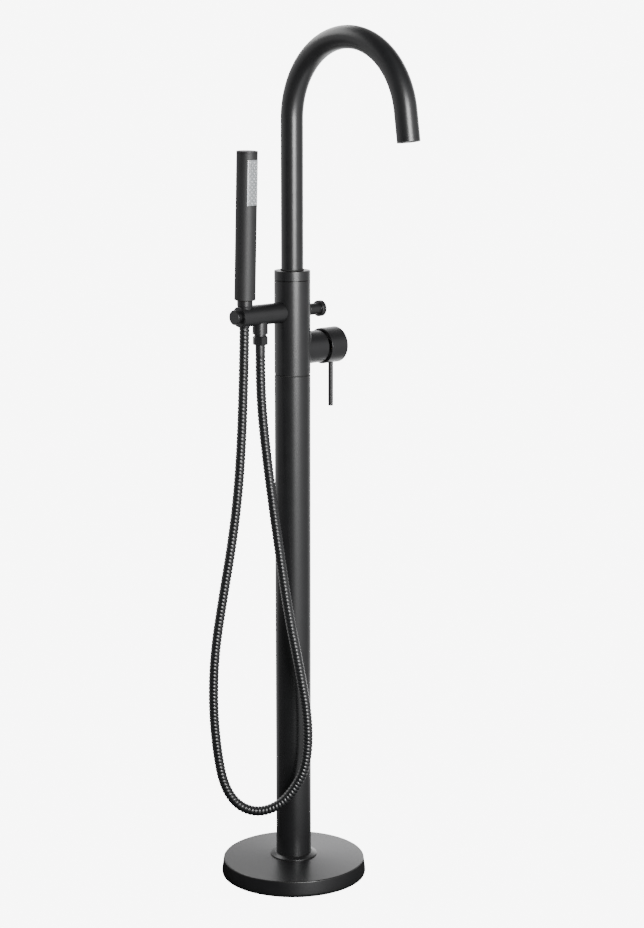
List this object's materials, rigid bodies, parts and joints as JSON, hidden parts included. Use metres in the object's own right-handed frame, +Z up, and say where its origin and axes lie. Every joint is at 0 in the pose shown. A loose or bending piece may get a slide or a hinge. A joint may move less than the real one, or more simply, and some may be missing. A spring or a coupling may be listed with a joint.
{
  "type": "floor standing bath filler",
  "caption": "Black floor standing bath filler with a swivelling swan neck spout, lever mixer, pull diverter and a stick hand shower on a ribbed hose in a cross arm.",
  "frame": {"origin": "centre of the foot on the floor, on the column's axis", "axes": "+Z up along the column; -Y towards the spout's outlet; -X towards the hand shower; +X towards the mixer handle"},
  "size_m": [0.2317, 0.3431, 1.202],
  "materials": {
    "black_coat": "satin matt black powder coat",
    "black_polish": "glossy black lacquer",
    "black_plastic": "matt black",
    "face_plastic": "satin pale grey",
    "jet_rubber": "matt",
    "seal_rubber": "matt",
    "brass": "machined",
    "steel": "brushed",
    "hose_braid": "braided",
    "white_plastic": "moulded",
    "ceramic": "ground ceramic"
  },
  "bodies": {
    "column": {"floor_plate": "steel", "column_screws": "steel", "base_cover": "black_coat", "foot_ring": "black_coat", "column_tube": "black_coat", "hot_supply_hose": "hose_braid", "cold_supply_hose": "hose_braid", "inlet_nuts": "brass", "inlet_washers": "seal_rubber", "column_spigot": "black_coat", "mixer_body": "black_coat", "cartridge_seals": "seal_rubber", "cartridge_base": "white_plastic", "fixed_disc": "ceramic", "cartridge_shell": "white_plastic", "cartridge_nut": "brass", "trim_ring": "black_coat", "cross_arm": "black_coat", "arm_end_knob": "black_coat", "outlet_washer": "seal_rubber", "outlet_hose_nut": "black_coat", "outlet_sleeve": "black_polish", "shower_hose": "black_polish", "diverter_gland": "black_coat", "diverter_escutcheon": "black_coat", "spout_collar": "black_coat"},
    "temperature": {"temperature_turret": "white_plastic", "lever_pin": "steel"},
    "ceramic_slide": {"moving_disc": "ceramic", "disc_driver": "white_plastic"},
    "lever": {"lever_spindle": "brass", "handle": "black_coat", "pin_lever": "black_coat"},
    "hose_end": {"cone_nut": "black_coat", "cone_washer": "seal_rubber"},
    "hand_shower": {"shower_inlet": "brass", "flow_limiter": "white_plastic", "shower_case": "black_coat", "shower_lid": "black_coat", "spray_face": "face_plastic", "spray_jets": "jet_rubber", "shower_waterway": "white_plastic"},
    "diverter": {"diverter_stem": "brass", "diverter_valve": "seal_rubber", "diverter_knob": "black_coat"},
    "spout": {"spout_foot": "brass", "spout_seals": "seal_rubber", "spout_tube": "black_coat", "spout_trim": "black_polish", "aerator_housing": "black_coat", "aerator_insert": "white_plastic"}
  },
  "joints": [
    {"name": "spout_swivel", "type": "hinge", "parent": "column", "child": "spout", "pos_m": [0, 0, 0.865], "axis": [0, 0, 1], "range_deg": [-90, 90]},
    {"name": "temperature_turn", "type": "hinge", "parent": "column", "child": "temperature", "pos_m": [0.03, 0, 0.762], "axis": [1, 0, 0], "range_deg": [-45, 45]},
    {"name": "lever_lift", "type": "hinge", "parent": "temperature", "child": "lever", "pos_m": [0.03, 0, 0.762], "axis": [0, -1, 0], "range_deg": [0, 20]},
    {"name": "ceramic_shift", "type": "slide", "parent": "temperature", "child": "ceramic_slide", "axis": [0, 0, 1], "range_m": [-0.003, 0]},
    {"name": "diverter_pull", "type": "slide", "parent": "column", "child": "diverter", "axis": [1, 0, 0], "range_m": [0, 0.009]},
    {"name": "shower_lift", "type": "slide", "parent": "column", "child": "hose_end", "axis": [0, -0.0332, 0.9995], "range_m": [0, 0.06]},
    {"name": "shower_turn", "type": "hinge", "parent": "hose_end", "child": "hand_shower", "pos_m": [-0.087, 0, 0.815], "axis": [0, -0.0332, 0.9995], "continuous": true}
  ],
  "couplings": [
    {"joint": "ceramic_shift", "follows": "lever_lift", "m_per_rad": -0.0085}
  ]
}
